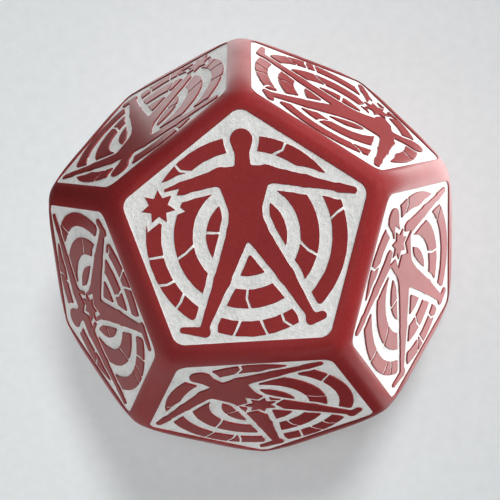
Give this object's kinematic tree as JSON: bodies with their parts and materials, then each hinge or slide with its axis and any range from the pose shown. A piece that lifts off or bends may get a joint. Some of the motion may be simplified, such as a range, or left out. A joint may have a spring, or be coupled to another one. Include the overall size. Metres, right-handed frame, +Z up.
{
  "type": "polyhedral die",
  "caption": "Dodecahedral die with rounded edges, its faces engraved with a figure on a target and a star, the engraving filled with paint.",
  "frame": {"origin": "centre of the face that the die rests on, which is the bottom centre of its bounding box", "axes": "+Z up, square to the resting face and the top face; +Y towards the corner of the top face that its figure's head points to; +X to the right of someone looking down with +Y away from them"},
  "size_m": [0.0228, 0.024, 0.02],
  "materials": {
    "red_plastic": "satin moulded plastic, opaque dark red, lightly tumbled",
    "white_paint": "matte off-white filling paint with a faint uneven grain"
  },
  "bodies": {
    "root": {"die_body": "red_plastic", "paint_head": "white_paint", "paint_neck": "white_paint", "paint_chest": "white_paint", "paint_groin": "white_paint", "paint_left_arm": "white_paint", "paint_right_arm": "white_paint", "paint_left_hand": "white_paint", "paint_right_hand": "white_paint", "paint_left_knee": "white_paint", "paint_right_knee": "white_paint", "paint_left_foot": "white_paint", "paint_right_foot": "white_paint"}
  },
  "joints": []
}
